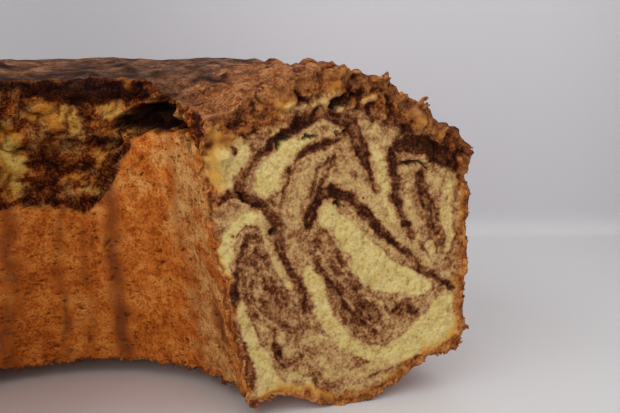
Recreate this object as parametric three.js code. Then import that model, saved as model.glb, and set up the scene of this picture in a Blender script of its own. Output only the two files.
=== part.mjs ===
// Marble ring cake, crust side up, with a sector cut away.
//
// One closed solid: a section in radius and height is swept about the ring's vertical axis, and
// each cut face is flat. Units are millimetres, +Z is up. The origin is the middle of the cake's
// bounding box, at the level that the cake stands on.

import * as THREE from 'three';
import { ImprovedNoise } from 'three/addons/math/ImprovedNoise.js';

// ---- Driving dimensions -------------------------------------------------------------------

// Plan
const CUT_HALF_ANGLE = 63;      // degrees, half of the missing sector, which points along -Y
const WALL_RADIUS = 120;        // outer wall, baked against the tin
const WALL_BULGE = 1.0;         // the wall's slight belly
const LIP_OVERHANG = 1.6;       // the crust's burnt edge stands out past the wall by this

// Heights above the surface that the cake stands on
const CREST_HEIGHT = 101.5;     // top of the risen crust
const LIP_HEIGHT = 77;          // crust edge at the outer wall
const FLAP_HEIGHT = 97.5;       // crust edge at the hole, along most of the ring
const FLAP_HEIGHT_AT_CUT = 86;  // the same edge where it droops to the first cut face
const FLAP_DROOP_ANGLE = 40;    // degrees of ring over which it droops
const OUTER_BASE_RISE = 13.5;   // the rounded base meets the outer wall here
const INNER_EDGE_RISE = 5.2;    // the base's inner edge hangs this far up
const BASE_HOLLOW = 7;          // highest point of the hollow under the inner edge

// Radii
const CREST_RADIUS = 80;        // the crust is highest here
const REST_INNER = 78.5;        // flat strip that touches the surface
const REST_OUTER = 84.5;
const HOLLOW_RADIUS = 60;       // the hollow under the base is highest here
const HOLE_RADIUS_TOP = 38;     // the hole, left by the tin's tapered tube
const HOLE_TAPER = 15;          // how much wider the hole is at the bottom
const TUBE_HEIGHT = 90;         // height at which the tube's taper would end
const TAPER_POWER = 1.35;

// The torn, free-risen band between the smooth tube wall and the crust's flap
const TORN_START = 58;          // its lower edge along most of the ring
const TORN_DEPTH = 4.5;         // how far it stands back from the tube wall
const SHOULDER_TOP = 83;        // the smooth wall rises to here near a cut face
const SHOULDER_ANGLE = 47;      // degrees of ring with the risen shoulder
const SHOULDER_FADE = 20;
const CAVITY_ANGLE = 32;        // middle of the cavity under the flap, degrees from the first cut
const CAVITY_SPAN = 13;
const CAVITY_DEPTH = 9;

// Unevenness of each surface, and its size across
const CRUST_SWELL = 1.5;
const CRUST_SWELL_SIZE = 26;
const TORN_SWELL = 2.2;
const TORN_SWELL_SIZE = 12;
const WALL_SWELL = 0.5;
const WALL_SWELL_SIZE = 24;

// Fineness
const RING_STEPS = 54;
const BASE_STEPS = 8;
const WALL_STEPS = 9;
const CRUST_OUTER_STEPS = 11;
const CRUST_INNER_STEPS = 10;
const TORN_STEPS = 10;
const HOLE_STEPS = 9;
const HOLLOW_STEPS = 8;

// ---- Small helpers ------------------------------------------------------------------------

const noise = new ImprovedNoise();
const { degToRad, lerp, smoothstep } = THREE.MathUtils;

const FIRST_CUT = -90 + CUT_HALF_ANGLE;
const RING_SPAN = 360 - 2 * CUT_HALF_ANGLE;

// Uneven swell between -1 and 1 at a point given by ring angle, radius and height.
function swell(angle, r, z, size, seed) {
  const a = degToRad(angle);
  return noise.noise(r * Math.cos(a) / size + seed, r * Math.sin(a) / size, z / size);
}

// A bell of height 1 around a middle.
function bell(x, middle, halfWidth) {
  const t = (x - middle) / halfWidth;
  return Math.exp(-t * t);
}

// ---- The section's lines, each as a function of the angle from the first cut ---------------

function holeRadius(z) {
  const below = Math.max(0, 1 - z / TUBE_HEIGHT);
  return HOLE_RADIUS_TOP + HOLE_TAPER * Math.pow(below, TAPER_POWER);
}

function flapHeight(angle) {
  const t = smoothstep(angle, 0, FLAP_DROOP_ANGLE);
  return lerp(FLAP_HEIGHT_AT_CUT, FLAP_HEIGHT, t);
}

function tornStart(angle) {
  const end = SHOULDER_ANGLE + SHOULDER_FADE;
  const near = 1 - smoothstep(angle, SHOULDER_ANGLE, end);
  const far = smoothstep(angle, RING_SPAN - SHOULDER_FADE, RING_SPAN);
  const wave = 2.5 * Math.sin(degToRad(angle * 4));
  return lerp(TORN_START + wave, SHOULDER_TOP, Math.max(near, far));
}

function crustHeight(angle, r) {
  const outward = Math.max(0, (r - CREST_RADIUS) / (WALL_RADIUS + LIP_OVERHANG - CREST_RADIUS));
  const inward = Math.max(0, (CREST_RADIUS - r) / (CREST_RADIUS - HOLE_RADIUS_TOP));
  const dropOut = (CREST_HEIGHT - LIP_HEIGHT) * Math.pow(outward, 1.5);
  const dropIn = (CREST_HEIGHT - flapHeight(angle)) * Math.pow(inward, 1.6);
  const fade = 1 - Math.pow(outward, 4);
  const uneven = CRUST_SWELL * fade * swell(angle, r, 0, CRUST_SWELL_SIZE, 3.1);
  return CREST_HEIGHT - dropOut - dropIn + uneven;
}

function wallRadius(angle, z) {
  const t = (z - OUTER_BASE_RISE) / (LIP_HEIGHT - OUTER_BASE_RISE);
  const belly = WALL_BULGE * Math.sin(Math.PI * Math.min(1, Math.max(0, t)));
  const uneven = WALL_SWELL * swell(angle, WALL_RADIUS, z, WALL_SWELL_SIZE, 7.7);
  return WALL_RADIUS - WALL_SWELL + belly + uneven;
}

// How far the torn band stands back, from 0 under the flap to 1 at its lower edge.
function tornDepth(angle, down, z) {
  const profile = Math.sin(Math.PI * Math.min(1, 0.12 + 0.88 * down));
  const band = TORN_DEPTH * profile;
  const uneven = TORN_SWELL * profile * swell(angle, HOLE_RADIUS_TOP, z, TORN_SWELL_SIZE, 1.3);
  const cavity = CAVITY_DEPTH * bell(angle, CAVITY_ANGLE, CAVITY_SPAN) * Math.pow(profile, 2);
  return Math.max(0, band + uneven + cavity);
}

// ---- One section: a closed line of (r, z) points, counter-clockwise -------------------------

function section(angle) {
  const points = [];
  const add = (r, z) => points.push(new THREE.Vector2(r, z));

  // Flat strip that rests on the surface
  add(REST_INNER, 0);
  add(REST_OUTER, 0);

  // Rounded base, rising to the outer wall
  for (let i = 1; i <= BASE_STEPS; i++) {
    const t = i / BASE_STEPS;
    const r = lerp(REST_OUTER, WALL_RADIUS - WALL_SWELL, Math.sin(t * Math.PI / 2));
    const z = OUTER_BASE_RISE * Math.pow(t, 1.7);
    add(r, z);
  }

  // Outer wall, up to just under the crust's edge
  for (let i = 1; i <= WALL_STEPS; i++) {
    const z = lerp(OUTER_BASE_RISE, LIP_HEIGHT - 3, i / WALL_STEPS);
    add(wallRadius(angle, z), z);
  }

  // Burnt lip, then the crust up to its crest and down to the hole
  const lipRadius = WALL_RADIUS + LIP_OVERHANG;
  add(lipRadius, LIP_HEIGHT - 1.5);
  for (let i = 0; i < CRUST_OUTER_STEPS; i++) {
    const r = lerp(lipRadius, CREST_RADIUS, i / CRUST_OUTER_STEPS);
    add(r, crustHeight(angle, r));
  }
  const flapRadius = HOLE_RADIUS_TOP + 1.5;
  for (let i = 0; i <= CRUST_INNER_STEPS; i++) {
    const r = lerp(CREST_RADIUS, flapRadius, i / CRUST_INNER_STEPS);
    add(r, crustHeight(angle, r));
  }

  // Torn band under the flap
  const top = crustHeight(angle, flapRadius) - 2;
  const start = Math.min(tornStart(angle), top - 4);
  for (let i = 0; i < TORN_STEPS; i++) {
    const down = i / TORN_STEPS;
    const z = lerp(top, start, down);
    add(holeRadius(z) + tornDepth(angle, down, z), z);
  }

  // Smooth wall that the tube left
  for (let i = 0; i <= HOLE_STEPS; i++) {
    const z = lerp(start, INNER_EDGE_RISE, i / HOLE_STEPS);
    const uneven = WALL_SWELL * swell(angle, HOLE_RADIUS_TOP, z, WALL_SWELL_SIZE, 5.9);
    add(holeRadius(z) + uneven, z);
  }

  // Hollow under the inner edge, back to the rest strip
  for (let i = 1; i <= HOLLOW_STEPS; i++) {
    const r = lerp(holeRadius(INNER_EDGE_RISE), REST_INNER, i / (HOLLOW_STEPS + 1));
    const inward = Math.max(0, HOLLOW_RADIUS - r) / (HOLLOW_RADIUS - holeRadius(0));
    const outward = Math.max(0, r - HOLLOW_RADIUS) / (REST_INNER - HOLLOW_RADIUS);
    const z = lerp(BASE_HOLLOW, INNER_EDGE_RISE, inward) * (1 - outward);
    add(r, z);
  }
  return points;
}

// ---- The swept ring with its two flat cut faces ---------------------------------------------

function ringSector() {
  const positions = [];
  const index = [];
  let count = 0;
  for (let s = 0; s <= RING_STEPS; s++) {
    const angle = RING_SPAN * s / RING_STEPS;
    const points = section(angle);
    const direction = degToRad(FIRST_CUT + angle);
    count = points.length;
    for (const p of points) {
      positions.push(p.x * Math.cos(direction), p.x * Math.sin(direction), p.y);
    }
  }

  // Skin between neighbouring sections
  for (let s = 0; s < RING_STEPS; s++) {
    for (let i = 0; i < count; i++) {
      const a = s * count + i;
      const b = s * count + (i + 1) % count;
      const c = a + count;
      const d = b + count;
      index.push(a, d, b);
      index.push(a, c, d);
    }
  }

  // Cut faces
  const lastStart = RING_STEPS * count;
  for (const [a, b, c] of THREE.ShapeUtils.triangulateShape(section(0), [])) {
    index.push(a, b, c);
  }
  for (const [a, b, c] of THREE.ShapeUtils.triangulateShape(section(RING_SPAN), [])) {
    index.push(lastStart + c, lastStart + b, lastStart + a);
  }

  const geometry = new THREE.BufferGeometry();
  geometry.setAttribute('position', new THREE.Float32BufferAttribute(positions, 3));
  geometry.setIndex(index);
  geometry.computeVertexNormals();
  return geometry;
}

// Move the geometry so that the origin is the middle of its box, at the bottom.
function centreOnBase(geometry) {
  geometry.computeBoundingBox();
  const { min, max } = geometry.boundingBox;
  geometry.translate(-(min.x + max.x) / 2, -(min.y + max.y) / 2, -min.z);
  return geometry;
}

// ---- The part -------------------------------------------------------------------------------

const crumb = new THREE.MeshStandardMaterial({ color: 0xa8703a, roughness: 0.85, metalness: 0 });
const cake = new THREE.Mesh(centreOnBase(ringSector()), crumb);
cake.name = 'cake';

const group = new THREE.Group();
group.add(cake);
export default group;
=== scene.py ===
"""Marble ring cake with a wedge cut away: its sponge, crust, crumbs and a plain studio."""

import itertools
import math

import bmesh
import bpy
import numpy as np
from bpy.props import FloatProperty, FloatVectorProperty, IntProperty, PointerProperty
from mathutils import Euler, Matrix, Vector
from mathutils.geometry import delaunay_2d_cdt


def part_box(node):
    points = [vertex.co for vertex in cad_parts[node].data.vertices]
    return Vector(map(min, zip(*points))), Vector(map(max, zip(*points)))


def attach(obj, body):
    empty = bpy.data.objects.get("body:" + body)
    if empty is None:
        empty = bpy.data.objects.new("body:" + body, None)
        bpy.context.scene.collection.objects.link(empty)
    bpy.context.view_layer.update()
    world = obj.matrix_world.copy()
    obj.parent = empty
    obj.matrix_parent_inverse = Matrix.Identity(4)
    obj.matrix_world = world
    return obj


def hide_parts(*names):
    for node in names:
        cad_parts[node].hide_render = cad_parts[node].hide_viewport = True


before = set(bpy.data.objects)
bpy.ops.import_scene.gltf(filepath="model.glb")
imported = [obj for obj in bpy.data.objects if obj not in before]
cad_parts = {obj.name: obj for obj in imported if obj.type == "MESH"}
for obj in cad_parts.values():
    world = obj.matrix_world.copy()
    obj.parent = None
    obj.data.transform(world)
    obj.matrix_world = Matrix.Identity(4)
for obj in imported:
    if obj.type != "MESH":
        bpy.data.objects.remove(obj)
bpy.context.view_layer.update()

bl_info = {
    "name": "Marble Ring Cake",
    "version": (1, 0, 0),
    "blender": (4, 5, 0),
    "location": "View3D > Sidebar > Cake",
    "description": "Makes a marbled ring cake with a wedge cut away, and a plain studio",
    "category": "Add Mesh",
}

# ---- The frame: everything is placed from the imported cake's box ----------------------------

MM = 0.001
CAKE_LOW, CAKE_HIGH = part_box("cake")
RING_RADIUS = (CAKE_HIGH[0] - CAKE_LOW[0]) / 2 / MM     # out to the crust's lip
AXIS_Y = CAKE_HIGH[1] / MM - RING_RADIUS                # the ring's vertical axis, at X = 0
FIRST_CUT = math.degrees(math.asin((CAKE_LOW[1] / MM - AXIS_Y) / RING_RADIUS))
RING_SPAN = 180 - 2 * FIRST_CUT                         # degrees of ring that are left

# ---- The section, in millimetres from the axis and above the table -------------------------

LIP_OVERHANG = 1.6
WALL_RADIUS = RING_RADIUS - LIP_OVERHANG
WALL_BULGE = 1.0
CREST_HEIGHT = 101.5
CREST_RADIUS = 80
OUTER_FALL_POWER = 1.5          # how the crust falls from its crest to the lip,
INNER_FALL_POWER = 1.6          # and to the hole
LIP_HEIGHT = 77
LIP_START = LIP_HEIGHT - 3
FLAP_HEIGHT = 97.5
FLAP_HEIGHT_AT_CUT = 86
FLAP_DROOP_ANGLE = 42
DROOP_POWER = 1.3
OUTER_BASE_RISE = 13.5
BASE_STEP_RADIUS = 108
BASE_STEP_RISE = 12
BASE_SLOPE_POWER = 1.35
CORNER_WIDTH = 2.5              # the base's last turn into the outer wall
CORNER_RISE = 2.2
INNER_EDGE_RISE = 5.2
BASE_HOLLOW = 7
HOLLOW_RADIUS = 60
REST_INNER = 78.5
REST_OUTER = 84.5
HOLE_RADIUS_TOP = 38
HOLE_TAPER = 15
TUBE_HEIGHT = 90
TAPER_POWER = 1.35
FLAP_RADIUS = HOLE_RADIUS_TOP + 1.5     # the crust's torn inner edge
TORN_START = 58
TORN_DEPTH = 4.5
TORN_LEAST = 7
SHOULDER_TOP = 83
SHOULDER_ANGLES = (42, 78)      # the smooth wall's risen shoulder fades between these
FAR_SHOULDER = 24
UNROLLED_DEGREE = math.radians(HOLE_RADIUS_TOP + 5)     # mm of the hole's wall for a degree of ring
CUT_EDGE_WIDTH = 3.0            # the skin is ragged this far from a cut,
CUT_RELIEF_REACH = 4.5          # and follows the cut face's relief this far

# ---- Marbling on the cut face --------------------------------------------------------------
# Each stroke is a line of (radius, height, half width) in mm with a cocoa tone: 0 is plain
# yellow batter and 1 is dark chocolate. Later strokes lie over earlier ones.

BASE_TONE = 0.46
MARBLING = (
    ("browned top", 0.62, ((42, 87, 4), (60, 92, 6), (80, 96, 8), (98, 90, 7), (116, 77, 4))),
    ("lens", 0.60, ((53, 53, 3), (55, 46, 6), (58, 39, 8), (62, 32, 7), (67, 26, 4))),
    ("heart", 0.62, ((72, 50, 2.5), (77, 41, 4), (82, 35, 5), (87, 29, 6), (92, 24, 5))),
    ("fan", 0.36, ((65, 59, 3), (67, 69, 3), (72, 75, 2.5), (77, 79.5, 1.5))),
    ("low swirl", 0.36, ((69.5, 23, 2), (76, 19.5, 2.5), (81, 15, 2))),
    ("arch", 0.0, ((45.5, 41, 1.6), (44.5, 48, 2.2), (46, 54, 2), (49, 58.5, 1.8), (53, 60.5, 1.7),
                   (56, 57, 1.4))),
    ("arch, far limb", 0.2, ((56, 57, 1.3), (58, 51.5, 1.1), (60.5, 46, 1), (63.5, 39, 1))),
    ("inner stripe", 0.05, ((48, 38, 1), (49.5, 32, 1.4), (51.5, 25.5, 1.9), (54, 18.5, 2.5),
                            (56.5, 12, 3.2), (57.5, 8, 3.4))),
    ("inner foot", 0.08, ((58, 10, 1.6), (63, 8.5, 1.2), (67, 7, 0.9))),
    ("middle drop", 0.0, ((69, 43, 1.8), (71, 38.5, 3.1), (72.5, 33.5, 3), (74.5, 29, 2.2))),
    ("cradle", 0.03, ((74.5, 28.5, 1.8), (79, 23, 2.1), (84, 18.5, 2.3), (90, 15.5, 2.6),
                      (96, 15.5, 3), (103, 17.5, 4), (109, 22, 4.4), (113, 28, 3.4),
                      (114.5, 32, 1.5))),
    ("outer foot", 0.02, ((92, 13.5, 2.4), (100, 15, 3.2), (108, 18, 4), (115, 21.5, 4))),
    ("great band", 0.0, ((74, 60.5, 2.7), (80.5, 53, 4.3), (87, 45.5, 5.1), (93, 40, 5),
                         (100, 37.5, 4), (106.5, 35, 2.3))),
    ("wedge", 0.3, ((78.5, 78, 1), (81, 70.5, 2.3), (85.5, 64.5, 2.8), (91, 59, 2.6),
                    (97, 52.5, 2.1), (101, 48.5, 2.1), (105, 44, 2.1), (108.5, 40.5, 1.5))),
    ("second wedge", 0.06, ((88.5, 78.5, 1.6), (91.5, 74, 2.3), (93.5, 68, 2), (94.5, 62, 1.4),
                            (96, 57, 0.8))),
    ("pale rib", 0.3, ((99.5, 72, 1.5), (99.5, 66, 1.7), (101.5, 60.5, 1.4), (104, 55, 1.2))),
    ("outer rib", 0.16, ((115, 69, 1.3), (113.5, 62, 1.8), (113.5, 56, 1.7), (115, 51, 1.4),
                         (114, 46.5, 0.8))),
    ("outer patch", 0.2, ((108, 48, 1.4), (110, 44, 1.2))),
    ("shoulder patch", 0.05, ((42.5, 83.5, 1.8), (44, 77, 4.6), (45.5, 71, 3.2))),
    ("pale patch", 0.12, ((49.5, 80, 3.2), (48.5, 75, 3.2), (46.5, 71, 2.2))),
    ("upper patch", 0.0, ((56, 68.5, 2.5), (59, 74, 4.2), (63.5, 78.5, 3.2), (68, 81, 1.6),
                          (71.5, 82.8, 0.6))),
    ("pale crumb", 0.25, ((70.5, 90.5, 1.6), (75, 91, 1.8))),
    ("pale crumb by the crust", 0.15, ((87, 92, 1.3), (89, 93, 1.2))),
    ("pale fleck", 0.2, ((89.5, 83.5, 1.1), (90.3, 83, 0.8))),
    ("grey heart", 0.32, ((61.5, 24.5, 1.2), (62, 19.5, 1.3))),
    ("low pale", 0.25, ((67, 12.5, 1.5), (64.5, 11.5, 1.2))),
    ("low rib", 0.35, ((85, 9.5, 1.6), (90.5, 11, 1.8), (95, 11.5, 1.3))),
    ("outer mix", 0.36, ((100, 32, 2.1), (105, 30, 2.2), (107.5, 27.5, 1.6))),
    ("great swirl", 0.9, ((48.5, 68, 1.4), (52, 74.5, 1), (56.5, 79, 1), (60, 83, 1.1),
                           (65.5, 86, 1.6), (71.5, 88.5, 1.6), (77, 88, 1.4), (81.5, 85.5, 1.2))),
    ("fork", 0.86, ((43.5, 64.5, 0.4), (45, 66.5, 0.8), (48.5, 67, 1.3), (53, 65.5, 1.4),
                   (57, 62.5, 1.4), (59.5, 58, 1.7))),
    ("dark limb", 0.8, ((59.5, 56.5, 1.7), (61, 50.5, 1.3), (64, 44.5, 0.9), (67, 39, 0.8),
                        (69, 32.5, 0.7))),
    ("fine arc", 0.82, ((61.5, 62.5, 0.6), (62, 68, 0.5), (64, 73.5, 0.45), (67.5, 77.5, 0.45),
                        (72.5, 80, 0.7), (78, 82, 0.9), (81.5, 84, 0.8))),
    ("fan streak", 0.66, ((69.5, 59, 0.8), (70.5, 66.5, 0.6), (72, 73, 0.5), (75, 76, 0.4))),
    ("second fan streak", 0.64, ((71.5, 65, 0.6), (74.5, 70.5, 0.5), (77, 76.5, 0.4))),
    ("hook", 0.92, ((69.5, 58, 1.4), (71.5, 63, 1.2), (74.5, 66, 1.5), (78, 66.5, 1.7),
                    (81.5, 64, 1.7), (86, 60, 1.5), (91, 54.5, 1.1), (96, 50, 0.8),
                    (101.5, 45.5, 0.6), (106, 40.5, 0.6), (111, 37, 0.9), (116.5, 33.5, 0.8))),
    ("wedge streak", 0.86, ((82.5, 86, 1.9), (84, 82, 1.9), (86.5, 76, 1.4), (88.5, 70.5, 0.9),
                          (90, 66, 0.5))),
    ("wedge spot", 0.62, ((82.5, 71.5, 0.9), (84.5, 70, 0.9))),
    ("rib line", 0.88, ((95, 77.5, 1.3), (96, 70, 1.1), (97, 63, 1.1), (99.5, 56.5, 1),
                        (102.5, 51, 0.9), (105, 48.5, 0.5))),
    ("outer limb", 0.78, ((104, 69.5, 1.3), (106, 64, 1.8), (108, 59, 1.9), (109.5, 53, 1.6),
                         (111.5, 48.5, 1.1))),
    ("outer limb core", 0.88, ((107.5, 60, 0.5), (109.5, 54, 0.7), (110.8, 50.5, 0.4))),
    ("shoulder chocolate", 0.94, ((97, 79, 1.8), (103, 79, 2.8), (110, 75.5, 2.6), (117, 72, 1.6))),
    ("ochre ridge", 0.5, ((101, 82, 0.6), (106, 83.2, 0.9), (111.5, 81, 0.7), (115.5, 76.5, 0.5))),
    ("thin arch line", 0.56, ((48, 55, 0.3), (50, 57.5, 0.4), (52.5, 58, 0.5), (54.5, 56.5, 0.5),
                              (56, 53, 0.3))),
    ("lens edge", 0.86, ((50, 52.5, 0.5), (48.3, 47, 0.6), (47.8, 40.5, 0.7), (48.5, 37, 0.5))),
    ("heart line", 0.86, ((75, 54.5, 0.5), (78, 49, 0.7), (80, 44, 0.7), (81.5, 46, 0.5))),
    ("heart crack", 0.9, ((75, 40.5, 0.4), (79.5, 35.5, 0.5), (81.5, 31.5, 0.6), (85.5, 27.5, 0.6),
                          (88.5, 24, 0.5))),
    ("heart foot", 0.8, ((82, 26.5, 1.3), (87, 22, 1.9), (93, 20, 1.7))),
    ("heart spot", 0.84, ((98, 28.5, 1.2), (100.5, 30, 1.4), (103.5, 27.5, 0.9))),
    ("low hook", 0.84, ((59, 26.5, 0.7), (59.5, 19.5, 0.8), (62, 15.5, 0.7), (65, 16, 0.6))),
    ("low curl", 0.86, ((69, 11.5, 0.7), (72.5, 8.5, 0.9), (76.5, 6.3, 1.2), (78.5, 7, 0.8))),
    ("low pale line", 0.1, ((69, 9.8, 0.6), (72, 5.5, 0.9), (76, 3.2, 0.8))),
    ("brown rim", 0.64, ((46.5, 40, 0.7), (47.2, 33, 1), (48.5, 25, 1.5), (50.5, 17, 1.8),
                         (52.5, 10, 1.7))),
    ("spot", 0.62, ((46.8, 80.6, 0.6), (48.2, 79.2, 0.6))),
)

DARK_TONE = 0.7         # strokes darker than this bleed into the batter beside them,
HALO_SPREAD = 1.2       # by this in mm,
HALO_TONE = 0.6         # with this tone

# The second face shows the same strokes mirrored and swirled round a middle
SWIRL_MIDDLE = (82.0, 48.0)
SWIRL_TURN = 160        # degrees at the middle
SWIRL_REACH = 42

# Gaps and holes in the cut face: depth in mm, then (radius, height, half width)
FACE_GAPS = (
    ("slit in the great swirl", 4.0, ((59.5, 80.3, 0.5), (61.8, 82.4, 0.8), (64.2, 83.4, 0.5))),
    ("second slit", 3.0, ((68.5, 82.9, 0.6), (72, 83.2, 0.5))),
    ("third slit", 2.0, ((78, 83.6, 0.3), (81.5, 84.6, 0.3))),
    ("slit under the shoulder", 3.0, ((98, 73.8, 0.5), (102, 73.2, 0.6), (107.5, 72.1, 0.4))),
    ("hole by the fork", 3.5, ((59, 56.4, 0.8), (59.4, 55.8, 0.7))),
    ("hole by the hook", 3.0, ((78, 62.8, 0.9), (78.6, 62.2, 0.7))),
    ("hole in the fork", 2.5, ((49, 66.8, 0.6), (50.5, 66, 0.5))),
    ("hollow under the crust", 4.0, ((77.5, 91.3, 1.3), (81.5, 92.3, 1.2), (84.5, 93.8, 0.7))),
    ("small hollow", 2.5, ((68, 93, 0.7), (69.6, 93.2, 0.6))),
)

# Toasted and pale places in the browned rim of the first cut face
FACE_TOAST = (
    ("shoulder", 0.5, ((40.5, 84, 1.5), (41, 76, 2.2), (42, 70, 2.5), (43.5, 64, 1))),
    ("top", 0.4, ((42, 88.5, 1), (60, 96.5, 1.8), (80, 100, 4), (98, 94, 4), (118, 79, 3))),
)
FACE_PALE = (
    ("crumb under the crust", 0.15, ((64, 90, 2), (70, 91.5, 3.2), (77, 92, 2.6))),
    ("fleck by the crest", 0.2, ((87, 92, 1.8), (89, 93, 1.6))),
)

# ---- Patches on the torn band and the wall round the hole ----------------------------------
# Strokes as above, but of (angle from the first cut in degrees, height, half width in mm)

WALL_PATCHES = (
    ("brown batter", 0.58, ((62, 80, 5), (80, 76, 8), (100, 78, 8), (125, 76, 8))),
    ("dark under the crust", 0.96, ((96, 94, 3), (78, 93, 4), (64, 92.5, 4), (52, 93.5, 3),
                                    (44, 95, 1.5))),
    ("dark batter", 0.78, ((96, 73, 3), (84, 70, 4), (72, 68, 4.5), (62, 71, 4), (56, 75, 3))),
    ("dark foot", 0.84, ((94, 60, 2), (84, 58.5, 2.6), (74, 61, 2.6), (66, 66, 2))),
    ("orange ledge", 0.22, ((95, 88, 2.5), (88, 87, 3.2), (80, 86, 2.4))),
    ("orange nub", 0.12, ((80, 83.5, 2.1), (78, 82, 1.6))),
    ("ochre ledge", 0.2, ((66, 88, 1.8), (60, 88, 2.3), (55, 87, 1.2))),
    ("yellow tear", 0.0, ((105, 82, 3), (103, 74, 3.6), (105, 64, 3))),
    ("tan lump", 0.42, ((83, 66, 2), (77, 65.5, 2.6), (70, 63.5, 1.8))),
    ("pale nib", 0.08, ((69.5, 75, 1.1), (68.5, 72.5, 1.3))),
    ("far tear", 0.05, ((150, 84, 2.5), (160, 76, 3.5), (172, 70, 3))),
    ("far dark", 0.9, ((130, 70, 3), (142, 66, 4), (156, 88, 4), (178, 84, 5))),
    ("far ledge", 0.15, ((182, 90, 2), (195, 86, 2.4), (205, 88, 1.6))),
)
WALL_GAPS = (
    ("cavity under the flap", 12.0, ((59, 83.5, 1.2), (52, 85, 2.6), (44, 87, 3.6), (36, 88.5, 3.4),
                                     (29, 88, 2.2))),
    ("cavity by the corner", 9.0, ((27, 86, 2), (21, 83.5, 2.4), (17, 79.5, 1.7))),
    ("crevice", 3.0, ((72, 78.5, 0.8), (66, 78, 1.2), (58, 79.5, 1))),
    ("far cavity", 8.0, ((140, 90, 1.5), (150, 92, 2.5), (160, 90.5, 1.6))),
)
WALL_STREAKS = ((65, 2.7, 0.68), (106, 3.4, 0.6), (86, 1.6, 0.5), (76, 1.4, 0.35), (31, 2.0, 0.3),
                (134, 3.0, 0.6), (171, 2.0, 0.5), (203, 3.5, 0.6))   # angle, half width, strength

# Crumbs that stand out from the first cut's edges: angle, radius, height, size, stretch along
# the radius, across and up, and tilt in degrees
LARGE_CRUMBS = (
    (0.5, 104.2, 90.6, 1.1, (1.3, 0.8, 0.8), -35),
    (0.5, 105.6, 92.0, 0.9, (1.5, 0.7, 0.7), -20),
    (0.4, 121.6, 20.4, 1.0, (1.6, 0.8, 0.7), 25),
    (0.6, 89.5, 98.4, 1.4, (1.3, 0.9, 0.7), 10),
    (0.6, 75.8, 102.2, 1.6, (1.6, 1.0, 0.6), 0),
    (0.8, 67.0, 101.4, 1.3, (1.4, 1.0, 0.6), -8),
    (0.4, 120.6, 75.6, 1.5, (1.2, 1.2, 0.7), 30),
    (1.2, 53.0, 3.6, 1.2, (1.2, 0.8, 1.0), 10),
    (0.9, 113.0, 82.6, 1.1, (1.5, 0.8, 0.6), 25),
)

# ---- Colours, 0 to 255, with their places from 0 to 1 along a mask or a tone ---------------

# Baked batter from plain yellow to dark chocolate
BATTER_COLOURS = ((0.0, (219, 197, 126)), (0.2, (208, 177, 115)), (0.4, (190, 150, 102)),
                  (0.6, (155, 106, 67)), (0.8, (102, 57, 31)), (1.0, (54, 24, 10)))

# Painted shade that multiplies any of the colours: darker in the low spots of the grain, and in small
# hollows
GRAIN_SHADE = ((0.0, (222, 204, 184)), (0.5, (246, 242, 236)), (1.0, (255, 255, 255)))
HOLLOW_SHADE = (164, 126, 96)

# Cut sponge
CREAM = (246, 228, 172)
TOASTING = ((0.1, (255, 255, 255)), (0.6, (250, 206, 138)))
RIND = ((0.1, (104, 56, 28)), (0.45, (166, 102, 54)), (0.9, (212, 148, 88)))
RIND_SCORCHED = (98, 60, 40)
SPECKLE = (120, 76, 40)
# Painted shade in the cut sponge's small pores
PORE_SHADE = (92, 56, 30)
# Painted shade in the cut sponge's gaps and in the clefts of its craggy crumb
CRUMB_GAP_SHADE = (50, 25, 13)

# Torn batter and the walls baked against the tin
BROWNING = ((0.25, (254, 236, 190)), (0.65, (252, 198, 122)))
WALL_BROWN = ((0.1, (180, 94, 32)), (0.5, (218, 124, 46)), (0.9, (240, 158, 72)))
WALL_GOLD = ((0.1, (178, 112, 58)), (0.5, (212, 150, 84)), (0.9, (234, 182, 112)))
WALL_STAIN = (122, 64, 36)
# Painted shade in the shallow pits of the wall
WALL_PIT_SHADE = (92, 44, 18)

# Crust and loose crumbs
CRUST_DULL = ((0.1, (68, 40, 26)), (0.5, (112, 72, 48)), (0.9, (154, 106, 74)))
CRUST_WARM = ((0.1, (92, 48, 24)), (0.5, (150, 90, 50)), (0.9, (190, 130, 80)))
BURNT = (48, 28, 20)
# Painted shade in the gaps of the torn band and the hole's wall and in the band's folds, and painted
# shadow under the flap
DEEP_GAP_SHADE = (26, 13, 8)
CRUMB_TOAST = (236, 186, 122)

# Studio
TABLE = (228, 226, 225)
WALL = (215, 213, 217)
ROOM_LIGHT = (226, 227, 232)
ROOM_STRENGTH = 0.31
# Painted shade on the backdrop
BACKDROP_SHADE = 0.32        # how much darker the backdrop gets towards its sides and back

# Lamps: what they are placed from; how far ahead, to the right and up in metres; watts and size
LAMPS = (
    ("key", "camera", (-0.15, -0.42, 0.32), 3.1, 0.7),
    ("front", "camera", (-0.25, 0.0, 0.14), 0.68, 0.4),
    ("top", "ring", (-0.1, 0.25, 0.55), 1.2, 0.6),
)

# ---- Fineness of the mesh ------------------------------------------------------------------

ZONE_POINTS = {"strip": 5, "base": 36, "wall": 52, "lip": 6, "crust_out": 50, "crust_in": 56,
               "torn": 56, "hole": 84, "hollow": 26}    # round a section, in order
AROUND = sum(ZONE_POINTS.values())
ZONE_ENDS = dict(zip(ZONE_POINTS, itertools.accumulate(ZONE_POINTS.values())))
NEAR_ANGLE, NEAR_STEPS = 30, 44
MIDDLE_ANGLE, MIDDLE_STEPS = 122, 58
FAR_STEPS = 40
RINGS = NEAR_STEPS + MIDDLE_STEPS + FAR_STEPS
FIRST_FACE_SPACING = 0.52
SECOND_FACE_SPACING = 0.78
ROW_RATIO = 0.866       # rows of evenly spaced points are closer than the points in a row
SCATTER = 0.07          # how uneven the points inside a face are, as a share of the spacing
RIM_CLEARANCE = 0.6     # how far from its outline they stay, as a share of the spacing
CRUMB_SEED = 77
FIELD_NAMES = ("cocoa", "toast", "crust", "tin", "char", "deep", "shade")


# ---- Noise and strokes ---------------------------------------------------------------------

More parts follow.
